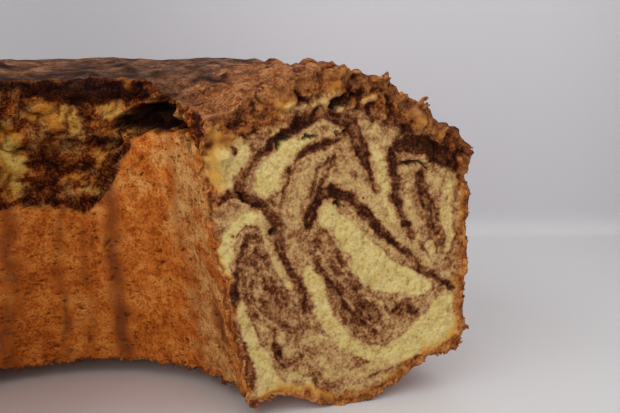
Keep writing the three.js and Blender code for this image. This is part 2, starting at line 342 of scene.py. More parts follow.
def lattice_noise(points, size, seed):
    """Smooth noise between about -1 and 1 at points of any shape (..., 3), in mm."""
    rng = np.random.default_rng(seed)
    table = rng.permutation(256)
    slopes = rng.normal(size=(256, 3))
    slopes /= np.linalg.norm(slopes, axis=1, keepdims=True)
    scaled = points / size
    cell = np.floor(scaled).astype(np.int64)
    part = scaled - cell
    fade = part ** 3 * (part * (part * 6 - 15) + 10)
    total = np.zeros(points.shape[:-1])
    for corner in itertools.product((0, 1), repeat=3):
        key = table[(cell[..., 0] + corner[0]) & 255]
        key = table[(key + cell[..., 1] + corner[1]) & 255]
        key = table[(key + cell[..., 2] + corner[2]) & 255]
        weight = np.prod(np.where(np.array(corner) == 1, fade, 1 - fade), axis=-1)
        total += weight * np.sum(slopes[key] * (part - np.array(corner)), axis=-1)
    return total * 1.6


def layered_noise(points, size, seed):
    """Noise with two finer and weaker layers on top of it."""
    total = np.zeros(points.shape[:-1])
    for k in range(3):
        total += lattice_noise(points, size / 2 ** k, seed + k) / 2 ** k
    return total


def crag_noise(points):
    """Lumps with narrow clefts between them, up to 0.9 in the clefts and less on the lumps."""
    lumps = np.abs(lattice_noise(points, 8, 15)) + 0.5 * np.abs(lattice_noise(points, 3.6, 18))
    return 0.9 - 2.6 * lumps


def cell_distance(points, size, seed):
    """Distance to the nearest of scattered spots, as a share of size, and the spot's own draw."""
    rng = np.random.default_rng(seed)
    table = rng.permutation(256)
    spots = rng.random((256, 3))
    draws = rng.random(256)
    scaled = points / size
    cell = np.floor(scaled).astype(np.int64)
    best = np.full(points.shape[:-1], np.inf)
    drawn = np.zeros(points.shape[:-1])
    for step in itertools.product((-1, 0, 1), repeat=3):
        near = cell + np.array(step)
        key = table[near[..., 0] & 255]
        key = table[(key + near[..., 1]) & 255]
        key = table[(key + near[..., 2]) & 255]
        gap = np.linalg.norm(near + spots[key] - scaled, axis=-1)
        closer = gap < best
        best = np.where(closer, gap, best)
        drawn = np.where(closer, draws[key], drawn)
    return best, drawn


def ease(x, low, high):
    """0 at low, 1 at high and smooth between; low may be the larger."""
    t = np.clip((x - low) / (high - low), 0, 1)
    return t * t * (3 - 2 * t)


def smooth_line(stations, steps=7):
    """A smooth line through stations of any width (Catmull-Rom)."""
    p = np.array(stations, float)
    if len(p) < 3:
        return p
    p = np.vstack([2 * p[0] - p[1], p, 2 * p[-1] - p[-2]])
    out = []
    for a, b, c, d in zip(p[:-3], p[1:-2], p[2:-1], p[3:]):
        for t in np.linspace(0, 1, steps, endpoint=False):
            out.append(0.5 * (2 * b + (c - a) * t + (2 * a - 5 * b + 4 * c - d) * t ** 2
                              + (3 * b - a - 3 * c + d) * t ** 3))
    out.append(p[-2])
    return np.array(out)


def numbers_near(where, line, margin):
    """Numbers of the 2-D points within a margin of the box round a line with half widths."""
    reach = line[:, 2].max() + margin
    low, high = line[:, :2].min(0) - reach, line[:, :2].max(0) + reach
    return np.nonzero(np.all((where > low) & (where < high), axis=1))[0]


def depth_in_line(where, line):
    """How deep 2-D points lie inside a line of (x, y, half width), less than 0 outside it."""
    best = np.full(len(where), -np.inf)
    for a, b in zip(line[:-1], line[1:]):
        along = b[:2] - a[:2]
        t = np.clip((where - a[:2]) @ along / max(along @ along, 1e-9), 0, 1)
        gap = np.linalg.norm(where - a[:2] - t[:, None] * along, axis=1)
        best = np.maximum(best, a[2] + (b[2] - a[2]) * t - gap)
    return best


def inside_stroke(where, stations, softness, ragged=None):
    """How far 2-D points lie inside a stroke: 1 inside, 0 outside, smooth over softness.

    Ragged widens the stroke in mm at each point."""
    line = smooth_line(stations)
    near = numbers_near(where, line, softness + 1.5)
    depth = depth_in_line(where[near], line)
    if ragged is not None:
        depth = depth + ragged[near]
    cover = np.zeros(len(where))
    cover[near] = ease(depth, -softness, softness)
    return cover


def stroke_distance(where, strokes, reach=7.0):
    """Distance from 2-D points to the edge of the nearest stroke, less than 0 inside one."""
    nearest = np.full(len(where), reach)
    for _name, _tone, stations in strokes:
        line = smooth_line(stations, 3)
        near = numbers_near(where, line, reach)
        nearest[near] = np.minimum(nearest[near], -depth_in_line(where[near], line))
    return nearest


def paint(field, where, strokes, softness, ragged=None):
    """Lays strokes over a field of tones; dark ones get a ragged width and a brown halo."""
    for _name, tone, stations in strokes:
        if tone > DARK_TONE and ragged is not None:
            wide = [(x, y, half + HALO_SPREAD) for x, y, half in stations]
            halo = inside_stroke(where, wide, HALO_SPREAD, ragged)
            field = np.maximum(field, HALO_TONE * halo)
            cover = inside_stroke(where, stations, softness, ragged)
        else:
            cover = inside_stroke(where, stations, softness)
        field = field + (tone - field) * cover
    return field


def carve(where, gaps, softness):
    """Depth in mm of the gaps at 2-D points."""
    depth = np.zeros(len(where))
    for _name, deepest, stations in gaps:
        depth = np.maximum(depth, deepest * inside_stroke(where, stations, softness))
    return depth


def unrolled_strokes(strokes):
    """Strokes given by ring angle, with the angle turned into mm along the hole's wall."""
    return [(name, value, [(angle * UNROLLED_DEGREE, z, half) for angle, z, half in stations])
            for name, value, stations in strokes]


# ---- The section's lines -------------------------------------------------------------------

def ring_point(radius, angle, height):
    """Points in mm from radius, angle from the first cut in degrees, and height."""
    turn = np.radians(FIRST_CUT + angle)
    return np.stack(np.broadcast_arrays(radius * np.cos(turn),
                                        AXIS_Y + radius * np.sin(turn), height), axis=-1)


def radius_of(points):
    """Distance of points in mm from the ring's axis."""
    return np.hypot(points[..., 0], points[..., 1] - AXIS_Y)


def hole_radius(z):
    """Radius of the hole that the tapered tube left, at a height."""
    return HOLE_RADIUS_TOP + HOLE_TAPER * np.clip(1 - z / TUBE_HEIGHT, 0, 1) ** TAPER_POWER


def flap_height(angle):
    """Height of the crust's torn inner edge, which droops to the first cut."""
    droop = np.clip(angle / FLAP_DROOP_ANGLE, 0, 1) ** DROOP_POWER
    return FLAP_HEIGHT_AT_CUT + (FLAP_HEIGHT - FLAP_HEIGHT_AT_CUT) * droop


def crust_height(angle, r):
    """Height of the smooth crust at an angle and radius."""
    outward = np.clip((r - CREST_RADIUS) / (RING_RADIUS - CREST_RADIUS), 0, 1)
    inward = np.clip((CREST_RADIUS - r) / (CREST_RADIUS - HOLE_RADIUS_TOP), 0, 1)
    drop_out = (CREST_HEIGHT - LIP_HEIGHT) * outward ** OUTER_FALL_POWER
    drop_in = (CREST_HEIGHT - flap_height(angle)) * inward ** INNER_FALL_POWER
    return CREST_HEIGHT - drop_out - drop_in


def tear_line(angle):
    """Height of the torn band's lower edge, which rises to a shoulder at each cut."""
    wave = 2.5 * np.sin(np.radians(angle * 4))
    near = 1 - ease(angle, *SHOULDER_ANGLES)
    far = ease(angle, RING_SPAN - FAR_SHOULDER, RING_SPAN)
    start = TORN_START + wave + (SHOULDER_TOP - TORN_START - wave) * np.maximum(near, far)
    return np.minimum(start, crust_height(angle, FLAP_RADIUS) - TORN_LEAST)


def craggy_share(r, z, angle):
    """1 in the torn crumb just under the crust and 0 in the clean cut below."""
    return ease(crust_height(angle, r) - z, 17, 9)


def section_grid(angles):
    """The undisturbed skin: radius and height of each section's points, zone by zone."""
    a = angles[:, None]
    radii, heights = [], []

    def add(r, z):
        r, z = np.broadcast_arrays(r + 0 * a, z + 0 * a)
        radii.append(r)
        heights.append(z)

    def steps(name):
        return np.linspace(0.0, 1.0, ZONE_POINTS[name], endpoint=False)[None, :]

    # Flat strip that rests, then the base rising in a slope and a step to the outer wall
    add(REST_INNER + (REST_OUTER - REST_INNER) * steps("strip"), 0.0)
    r = REST_OUTER + (WALL_RADIUS - REST_OUTER) * steps("base")
    slope = np.clip((r - REST_OUTER) / (BASE_STEP_RADIUS - REST_OUTER), 0, 1) ** BASE_SLOPE_POWER
    step = ease(r, BASE_STEP_RADIUS, WALL_RADIUS)
    corner = ease(r, WALL_RADIUS - CORNER_WIDTH, WALL_RADIUS) ** 2
    add(r, BASE_STEP_RISE * slope + (OUTER_BASE_RISE - BASE_STEP_RISE) * step + CORNER_RISE * corner)
    t = steps("wall")
    foot = OUTER_BASE_RISE + CORNER_RISE
    add(WALL_RADIUS - 0.3 + WALL_BULGE * np.sin(np.pi * t), foot + (LIP_START - foot) * t)

    # Burnt lip, crust out to in
    t = steps("lip")
    add(WALL_RADIUS + LIP_OVERHANG * t ** 0.7, LIP_START + 2.4 * t)
    r = RING_RADIUS - (RING_RADIUS - CREST_RADIUS) * steps("crust_out")
    add(r, crust_height(a, r))
    r = CREST_RADIUS - (CREST_RADIUS - FLAP_RADIUS) * steps("crust_in")
    add(r, crust_height(a, r))

    # Torn band, smooth wall of the hole, hollow under the inner edge
    top = crust_height(a, FLAP_RADIUS)
    start = tear_line(a)
    t = steps("torn")
    z = top + (start - top) * t
    under = np.sin(np.pi * np.clip(0.1 + 0.9 * t, 0, 1)) * ease(t, 0, 0.12)
    tall = ease(top - start, TORN_LEAST, 20)
    rim = (FLAP_RADIUS - HOLE_RADIUS_TOP) * (1 - ease(t, 0.0, 0.1))
    add(hole_radius(z) + under * TORN_DEPTH * (0.25 + 0.75 * tall) + rim, z)
    z = start + (INNER_EDGE_RISE - start) * steps("hole")
    add(hole_radius(z), z)
    r = hole_radius(INNER_EDGE_RISE) + 0.4
    r = r + (REST_INNER - r) * steps("hollow")
    inward = np.clip((HOLLOW_RADIUS - r) / (HOLLOW_RADIUS - hole_radius(0)), 0, 1)
    outward = np.clip((r - HOLLOW_RADIUS) / (REST_INNER - HOLLOW_RADIUS), 0, 1)
    add(r, (BASE_HOLLOW + (INNER_EDGE_RISE - BASE_HOLLOW) * inward) * (1 - outward))
    return np.concatenate(radii, 1), np.concatenate(heights, 1)


def ring_angles():
    """Angles of the sections, closer together near the first cut."""
    near = np.linspace(0, NEAR_ANGLE, NEAR_STEPS, endpoint=False)
    middle = np.linspace(NEAR_ANGLE, MIDDLE_ANGLE, MIDDLE_STEPS, endpoint=False)
    far = np.linspace(MIDDLE_ANGLE, RING_SPAN, FAR_STEPS)
    return np.concatenate([near, middle, far])


def zone_start(name):
    """Number of a zone's first point in a section."""
    return ZONE_ENDS[name] - ZONE_POINTS[name]


def zone_mask(names, fade):
    """1 over the named zones' points, with soft ends a few points wide."""
    mask = np.zeros(AROUND)
    for name in names:
        mask[zone_start(name):ZONE_ENDS[name]] = 1
    kernel = np.hanning(2 * fade + 3)
    padded = np.concatenate([mask[-fade - 1:], mask, mask[:fade + 1]])
    return np.convolve(padded, kernel / kernel.sum(), "same")[fade + 1:-fade - 1]


def edge_mask(name, before, after):
    """A soft bump over the points on both sides of a zone's start."""
    mask = np.zeros(AROUND)
    start = zone_start(name)
    mask[start - before:start + after] = np.hanning(before + after)
    return mask


def surface_normals(points):
    """Outward normals of the swept grid, which closes on itself along its second axis."""
    along = np.roll(points, -1, 1) - np.roll(points, 1, 1)
    normal = np.cross(np.gradient(points, axis=0), along)
    normal /= np.linalg.norm(normal, axis=-1, keepdims=True) + 1e-9
    outward = np.sum(normal[..., 2] * (points[..., 2] - CREST_HEIGHT / 2))
    return normal if outward > 0 else -normal


def soften(values, reach, times=1):
    """Averages of neighbours round each section."""
    for _time in range(times):
        values = sum(np.roll(values, k, 1) for k in range(-reach, reach + 1)) / (2 * reach + 1)
    return values


def cut_relief(points, crags, craggy, broken):
    """How far a cut face stands back, in mm, and how shaded each hollow is, 0 to 1."""
    wobble = 0.35 * lattice_noise(points, 28, 11)
    crumb = 0.34 * lattice_noise(points, 1.6, 12) + 0.42 * lattice_noise(points, 3.6, 13)
    spots, draw = cell_distance(points, 2.6, 14)
    pores = ease(spots, 0.34, 0.1) * (draw > 0.6)
    fine = 0.8 * lattice_noise(points, 2.2, 16) + 0.5 * lattice_noise(points, 1.2, 19)
    edge = broken * (0.35 + 1.2 * craggy + (1.0 + 0.9 * craggy) * lattice_noise(points, 3.5, 17))
    back = wobble + crumb + 0.6 * pores + craggy * (2.0 * crags + fine) + edge
    shaded = ease(crumb, 0.0, 0.6) * 0.45 + pores * 0.2 + craggy * ease(crags, 0.1, 0.7) * 0.5
    return back, shaded.clip(0, 1)


# ---- The skin of the ring ------------------------------------------------------------------

class Skin:
    """The ring's skin as arrays of sections by points round a section, in mm."""

    def __init__(self):
        angles = ring_angles()
        self.r, self.z = section_grid(angles)
        self.a = np.broadcast_to(angles[:, None], self.r.shape)
        self.plain = ring_point(self.r, self.a, self.z)
        self.turn = np.radians(FIRST_CUT + self.a)
        self.crust = zone_mask(("lip", "crust_out", "crust_in"), 2)
        self.torn = zone_mask(("torn",), 3)
        self.hole = zone_mask(("hole",), 3)
        self.wall = zone_mask(("wall",), 3)
        self.base = zone_mask(("strip", "base", "hollow"), 3)
        self.inner_wall = (self.torn + self.hole).clip(0, 1)
        self.from_cut = np.minimum(self.a, RING_SPAN - self.a)
        self.near_cut = ease(self.a, 42, 10)
        flat = np.stack([self.a * UNROLLED_DEGREE, self.z], axis=-1)
        ripple = np.stack([self.layered(6, 51), self.layered(6, 55)], axis=-1)
        self.unrolled = (flat + 1.9 * ripple).reshape(-1, 2)

        # Textures that both move the surface and colour it
        self.swell = 1.0 * self.noise(26, 21) + 0.5 * self.noise(9, 22)
        self.bubbles = 0.3 * self.noise(3.2, 23) + 0.16 * self.noise(1.6, 24)
        self.folds = np.abs(self.noise(15, 31, 1.5))
        self.clefts = crag_noise(self.squeezed(1.25))
        pits, draw = cell_distance(self.squeezed(2.0), 4.6, 43)
        self.pitted = ease(pits, 0.3, 0.12) * (draw > 0.5)
        self.dimples = ease(self.noise(2.4, 49, 2.0), 0.25, 0.7)

    def squeezed(self, squeeze):
        """The points stretched upwards, so that a texture on them is squeezed by as much."""
        return self.plain * np.array([1, 1, squeeze])

    def noise(self, size, seed, squeeze=1.0):
        return lattice_noise(self.squeezed(squeeze), size, seed)

    def layered(self, size, seed):
        return layered_noise(self.plain, size, seed)

    def crust_lift(self):
        """Swell, bubbles and blisters of the crust, and its crags near the first cut."""
        blister, draw = cell_distance(self.plain, 11, 26)
        blisters = 1.5 * ease(blister, 0.34, 0.05) * (draw > 0.6)
        crags = 2.6 * (np.abs(self.noise(9, 25)) - 0.2)
        crags += 1.1 * self.noise(3.6, 27) + 0.7 * self.noise(1.8, 28)
        bubbles = self.bubbles * (1 + self.near_cut)
        return self.crust * (self.swell + bubbles + self.near_cut * crags + blisters)

    def torn_lift(self):
        """Ledges and clefts of the torn band, and the ragged flap over it."""
        tear = 4.5 * (self.folds - 0.3) - 1.8 * self.clefts
        tear += 1.2 * self.noise(6, 32) + 0.7 * self.noise(2.8, 33)
        ragged = 2.2 * self.noise(7, 35) + 1.3 * self.noise(3.4, 36)
        quiet = 0.12 + 0.88 * ease(self.from_cut, 0, 12)
        return quiet * (self.torn * tear + edge_mask("torn", 8, 5) * ragged)

    def tin_lift(self):
        """Pits of the walls, lumps of the base and its ragged inner edge."""
        baked = 0.35 * self.noise(16, 41) + 0.16 * self.noise(2.6, 42)
        lift = (self.hole + self.wall) * (baked - 0.9 * self.pitted - 0.45 * self.dimples)
        rough = 1.6 * (np.abs(self.noise(6, 34)) - 0.3) + 0.6 * self.noise(2.4, 37)
        lift += self.hole * ease(self.a, 24, 8) * ease(self.a, 0, 3) * rough
        lift += self.base * 0.5 * self.noise(6, 46) * (self.z > 1.5)
        ragged = 1.9 * self.noise(3.2, 44) + 1.5 * self.noise(7, 45)
        return lift + edge_mask("hollow", 4, 4) * ragged

    def cut_lift(self):
        """Raggedness of the skin beside the two cuts."""
        arc = self.from_cut * np.radians(1) * self.r
        broken = 0.8 * self.noise(5, 47) + 0.9 * self.noise(2.2, 48) + 0.25
        share = np.exp(-(arc / CUT_EDGE_WIDTH) ** 2)
        return share * broken * (1 - self.torn) * (1 + 0.6 * self.hole)

    def lifted(self):
        """The points moved along their normals, with the flap's sharp turn softened."""
        lift = self.crust_lift() + self.torn_lift() + self.tin_lift() + self.cut_lift()
        resting = np.maximum(ease(self.z, 0.0, 1.5), self.crust)
        normal = soften(surface_normals(self.plain), 4)
        moved = self.plain + normal * (lift * resting)[..., None]
        flap = zone_start("torn")
        near_flap = slice(flap - 8, flap + 14)
        moved[:, near_flap] = soften(moved, 1, 3)[:, near_flap]
        return moved

    def gap_depth(self):
        """Depth of the gaps in the torn band and the hole's wall."""
        depth = carve(self.unrolled, unrolled_strokes(WALL_GAPS), 0.6)
        return depth.reshape(self.r.shape) * self.inner_wall

    def cut_shift(self, moved):
        """What the relief of the two cut faces adds to the skin beside them."""
        tangent = np.stack([-np.sin(self.turn), np.cos(self.turn), 0 * self.turn], axis=-1)
        radius, height = radius_of(moved), moved[..., 2]
        shift = np.zeros(moved.shape)
        for face_angle, sign in ((0.0, 1), (RING_SPAN, -1)):
            arc = np.abs(self.a - face_angle) * np.radians(1) * self.r
            share = np.exp(-(arc / CUT_RELIEF_REACH) ** 2)
            share = np.where(share > 0.02, share, 0)
            flat = ring_point(radius, face_angle, height)
            craggy = craggy_share(radius, height, face_angle)
            back, _shaded = cut_relief(flat, crag_noise(flat), craggy, 1.0)
            shift += tangent * (sign * back * share)[..., None]
        return shift

    def torn_cocoa(self):
        """Marbling of the torn band."""
        tone = 0.73 + 0.3 * self.layered(11, 61) + 0.2 * self.noise(3, 62)
        patches = unrolled_strokes(WALL_PATCHES)
        tone = paint(tone.reshape(-1).clip(0, 1), self.unrolled, patches, 0.8)
        return tone.reshape(self.r.shape) + 0.2 * self.noise(2.4, 67)

    def tin_stain(self):
        """Brown stains on the walls and the base: streaks, browned ends and a corner."""
        streaks = np.zeros(self.r.shape)
        drift = 2.0 * self.noise(18, 63) + 1.2 * self.noise(6, 64)
        for at, width, strength in WALL_STREAKS:
            across = (self.a - at) * UNROLLED_DEGREE + drift
            streaks = np.maximum(streaks, strength * np.exp(-(across / width) ** 2))
        streaks = streaks * (0.3 + 0.7 * self.hole) * (1.0 + 0.7 * self.noise(5, 65, 0.5))
        browned = self.wall * ease(self.z + 3 * self.noise(8, 76), 60, 76) * 0.5
        browned += self.base * (0.35 + 0.2 * self.noise(9, 77))
        corner = 1.1 * ease(self.a, 26, 10) * ease(self.z, 48, 34)
        corner *= ease(self.layered(7, 66), 0.1, 0.7)
        return np.maximum.reduce([streaks, browned, corner])

    def smooth_wall(self):
        """1 on the hole's smooth wall, which ends at the uneven tear line."""
        line = tear_line(self.a) + 2.2 * self.noise(7, 68) + 1.2 * self.noise(2.8, 69)
        return self.inner_wall * ease(self.z - line, 1.4, -1.4)

    def wall_gold(self):
        """Where the smooth wall is paler: by the first cut and high up."""
        by_the_cut = ease(self.a, 46, 18) * (0.4 + 0.6 * ease(self.a, 5, 16))
        high = 0.35 * ease(self.z, 48, 72)
        return np.maximum(by_the_cut, high) * (0.9 + 0.5 * self.noise(9, 74))

    def char(self):
        """Burnt places of the crust, its inner edge and its lip."""
        char = self.crust * ease(self.layered(17, 71), 0.15, 0.75) * 0.9
        flap = zone_mask(("crust_in",), 1) * ease(self.r, 56, 46) * ease(self.a, 36, 46)
        char = np.maximum(char, flap * (0.55 + 0.45 * self.noise(5, 72)))
        return np.maximum(char, zone_mask(("lip",), 4) * (0.75 + 0.3 * self.noise(4, 73)))

    def fold_and_flap_shade(self):
        """Painted shade in the torn band's folds, and painted shadow under the flap."""
        below_flap = crust_height(self.a, FLAP_RADIUS) - self.z + 2 * self.noise(4, 75)
        # Painted shadow under the flap
        scorch_and_shadow = 0.6 * ease(below_flap, 8, 3) * ease(self.a, 34, 46)
        return self.torn * np.maximum(0.7 * ease(self.folds, 0.09, 0.01), scorch_and_shadow)

    def hollow_shade(self):
        """How shaded the small hollows are."""
        clefts = self.torn * ease(self.clefts, -0.1, 0.6)
        pits = (self.hole + self.wall) * (0.8 * self.pitted + 0.6 * self.dimples)
        dips = self.crust * ease(-self.swell - self.bubbles * 2, 0.3, 1.5) * 0.6
        return clefts + pits + dips

    def fields(self, depth):
        """The fields that the material reads, each 0 to 1."""
        smooth = self.smooth_wall()
        tin = (self.wall + self.base + smooth).clip(0, 1)
        cocoa = self.torn_cocoa() * (1 - tin) + self.tin_stain() * tin
        toast = self.crust * (0.3 + 0.7 * self.near_cut) + smooth * self.wall_gold().clip(0, 1)
        # Painted shade in the carved gaps and folds, and painted shadow under the flap
        deep = np.maximum(depth / 4, self.fold_and_flap_shade())
        crust = np.broadcast_to(self.crust, self.r.shape)
        char, shaded = self.char().clip(0, 1), self.hollow_shade().clip(0, 1)
        return dict(zip(FIELD_NAMES,
                        (cocoa.clip(0, 1), toast, crust, tin, char, deep.clip(0, 1), shaded)))


# ---- The cut faces -------------------------------------------------------------------------

def outline_distance(points, outline):
    """Distance from points to a closed outline, and which points lie inside it."""
    gap = np.full(len(points), np.inf)
    odd = np.zeros(len(points), bool)
    x, y = points[:, 0], points[:, 1]
    for a, b in zip(outline, np.roll(outline, -1, 0)):
        along = b - a
        t = ((x - a[0]) * along[0] + (y - a[1]) * along[1]) / max(along @ along, 1e-12)
        t = np.clip(t, 0, 1)
        np.minimum(gap, np.hypot(x - a[0] - t * along[0], y - a[1] - t * along[1]), out=gap)
        crosses = (a[1] > y) != (b[1] > y)
        if along[1] != 0:
            odd ^= crosses & (x < a[0] + (y - a[1]) * along[0] / along[1])
    return gap, odd


def fill_face(outline, spacing, seed):
    """Triangles over a closed outline in (radius, height), with an even scatter inside."""
    low, high = outline.min(0), outline.max(0)
    xs = np.arange(low[0], high[0], spacing)
    ys = np.arange(low[1], high[1], spacing * ROW_RATIO)
    gx, gy = np.meshgrid(xs, ys)
    gx[1::2] += spacing / 2
    inner = np.stack([gx.ravel(), gy.ravel()], axis=-1)
    inner += np.random.default_rng(seed).normal(0, spacing * SCATTER, inner.shape)
    gap, inside = outline_distance(inner, outline)
    inner = inner[inside & (gap > spacing * RIM_CLEARANCE)]
    everything = np.vstack([outline, inner])
    n = len(outline)
    rim = [(i, (i + 1) % n) for i in range(n)]
    result = delaunay_2d_cdt([Vector(p) for p in everything], rim, [], 1, 1e-6, True)
    points, faces, origin = result[0], result[2], result[3]
    if len(points) != len(everything):
        raise RuntimeError("the section's outline crosses itself: %d points became %d"
                           % (len(everything), len(points)))
    order = np.array([o[0] for o in origin])
    faces = order[np.array(faces)]
    _gap, inside = outline_distance(everything[faces].mean(axis=1), outline)
    return everything, faces[inside]


def swirled(where):
    """Where the second face looks up its marbling: mirrored and swirled, so that it differs."""
    middle = np.array(SWIRL_MIDDLE)
    away = where - middle
    turn = np.radians(SWIRL_TURN) * np.exp(-(np.linalg.norm(away, axis=1) / SWIRL_REACH) ** 2)
    across = away[:, 1] * np.sin(turn) - away[:, 0] * np.cos(turn)
    up = away[:, 0] * np.sin(turn) + away[:, 1] * np.cos(turn)
    return middle + np.stack([across, up], axis=-1)


def face_cocoa(spot, points):
    """Marbling of a cut face, with fine lines along the strokes and small clods."""
    cocoa = BASE_TONE + 0.14 * layered_noise(points, 7, 88)
    ragged = 0.55 * lattice_noise(points, 2.4, 82) + 0.5 * lattice_noise(points, 5.5, 83)
    cocoa = paint(cocoa, spot, MARBLING, 0.45, ragged)
    beside = stroke_distance(spot, MARBLING)
    x, y = spot[:, 0], spot[:, 1]
    lines = lattice_noise(np.stack([beside / 1.5, x / 16, y / 16], -1), 1, 95)
    lines += 0.6 * lattice_noise(np.stack([beside / 0.7, x / 9, y / 9], -1), 1, 96)
    clods = lattice_noise(points, 1.9, 97) + 0.8 * lattice_noise(points, 3.4, 98)
    brown = ease(cocoa, 0.18, 0.5)
    return cocoa + brown * (0.26 * lines + 0.16 * clods) + 0.05 * (1 - brown) * clods


def face_toast(where, uneven, gap, points, second):
    """How browned a cut face is: its rim, the rind under the crust, and single places."""
    r, z = where[:, 0], where[:, 1]
    blotch = 1 + 0.45 * layered_noise(points, 5, 91)
    outer = ease(r, 90, 112) * ease(z, 82, 70)
    under = ease(z, 40, 20) * ease(r, 52, 62)
    under_crust = ease(z, 78, 86) * ease(r, 40, 46)
    reach = (1.1 + 2.7 * np.maximum(outer, under) + 4.6 * under_crust) * blotch
    toast = ease(gap, reach * 1.5, reach * 0.1)
    rind = ease(crust_height(0.0, r) - z, 13, 6)
    toast = np.maximum(toast, rind * (0.6 + 0.4 * layered_noise(points, 6, 84)))
    if second:
        return toast
    toast = paint(toast, uneven, FACE_PALE, 1.4)
    return np.maximum(toast, blotch * paint(np.zeros(len(where)), uneven, FACE_TOAST, 2.2))


def cut_face(outline, face_angle, spacing, seed, second):
    """A cut face: its points, triangles, and fields at its points, its outline's first."""
    where, faces = fill_face(outline, spacing, seed)
    flat = ring_point(where[:, 0], face_angle, where[:, 1])
    warp = np.stack([layered_noise(flat, 5, 81), layered_noise(flat, 5, 85)], -1) * 0.65
    warp += np.stack([lattice_noise(flat, 1.5, 92), lattice_noise(flat, 1.5, 93)], -1) * 0.4
    spot = (swirled(where) if second else where) + warp
    gap, _inside = outline_distance(where, outline)
    crags = crag_noise(flat)
    craggy = craggy_share(where[:, 0], where[:, 1], face_angle)
    depth = carve(spot + warp, FACE_GAPS, 0.35) * ease(gap, 0.3, 1.5)
    back, shaded = cut_relief(flat, crags, craggy, ease(gap, 2.2 + 2.8 * craggy, 0))
    turn = np.radians(FIRST_CUT + face_angle)
    inward = np.array([-math.sin(turn), math.cos(turn), 0.0]) * (-1 if second else 1)
    points = flat + inward * (back + depth)[:, None]
    # Painted shade and light: the craggy crumb is darker in its clefts and paler on its lumps
    cocoa = face_cocoa(spot, flat) + 0.28 * craggy * (crags + 0.1)
    toast = face_toast(where, where + warp * 2, gap, flat, second)
    # Painted shade: near black in the carved gaps, dark in the clefts of the craggy crumb
    deep = np.maximum(depth / 2.5, 0.75 * craggy * ease(crags, 0.35, 0.85))
    none = np.zeros(len(where))
    fields = dict(zip(FIELD_NAMES, (cocoa.clip(0, 1), toast.clip(0, 1), none, none, 0.5 * craggy,
                                    deep.clip(0, 1), shaded)))
    return points, faces[:, ::-1] if second else faces, fields


def build_cake_arrays():
    """Everything about the cake's mesh: points, quads, triangles and fields per point."""
    skin = Skin()
    depth = skin.gap_depth()
    outward = np.stack([np.cos(skin.turn), np.sin(skin.turn), 0 * skin.turn], axis=-1)
    moved = skin.lifted() + outward * depth[..., None]
    shift = skin.cut_shift(moved)
    radius = radius_of(moved)
    for index, face_angle in ((0, 0.0), (RINGS - 1, RING_SPAN)):
        moved[index] = ring_point(radius[index], face_angle, moved[index, :, 2])
    points = [(moved + shift).reshape(-1, 3)]
    fields = skin.fields(depth)
    values = {name: [np.array(fields[name]).reshape(-1)] for name in FIELD_NAMES}

    i, j = np.meshgrid(np.arange(RINGS - 1), np.arange(AROUND), indexing="ij")
    a = i * AROUND + j
    b = i * AROUND + (j + 1) % AROUND
    quads = np.stack([a, a + AROUND, b + AROUND, b], axis=-1).reshape(-1, 4)

    triangles = []
    count = RINGS * AROUND
    cuts = ((0, 0.0, FIRST_FACE_SPACING, False), (RINGS - 1, RING_SPAN, SECOND_FACE_SPACING, True))
    for index, face_angle, spacing, second in cuts:
        outline = np.stack([radius[index], moved[index, :, 2]], axis=-1)
        placed, faces, fields = cut_face(outline, face_angle, spacing, 5 + index, second)
        rim = np.arange(AROUND) + index * AROUND
        numbers = np.concatenate([rim, count + np.arange(len(placed) - AROUND)])
        triangles.append(numbers[faces])
        points.append(placed[AROUND:])
        count += len(placed) - AROUND
        for name in FIELD_NAMES:
            values[name].append(fields[name][AROUND:])
        for name in ("cocoa", "toast"):
            values[name][0][rim] = fields[name][:AROUND]
    values = {name: np.concatenate(parts) for name, parts in values.items()}
    return np.concatenate(points), quads, np.concatenate(triangles), values


def new_object(name, points, faces):
    """A mesh object from points in mm and lists of corners."""
    mesh = bpy.data.meshes.new(name)
    mesh.from_pydata((points * MM).tolist(), [], faces)
    mesh.update()
    piece = bpy.data.objects.new(name, mesh)
    bpy.context.scene.collection.objects.link(piece)
    mesh.shade_smooth()
    return piece


# ---- Shader nodes --------------------------------------------------------------------------

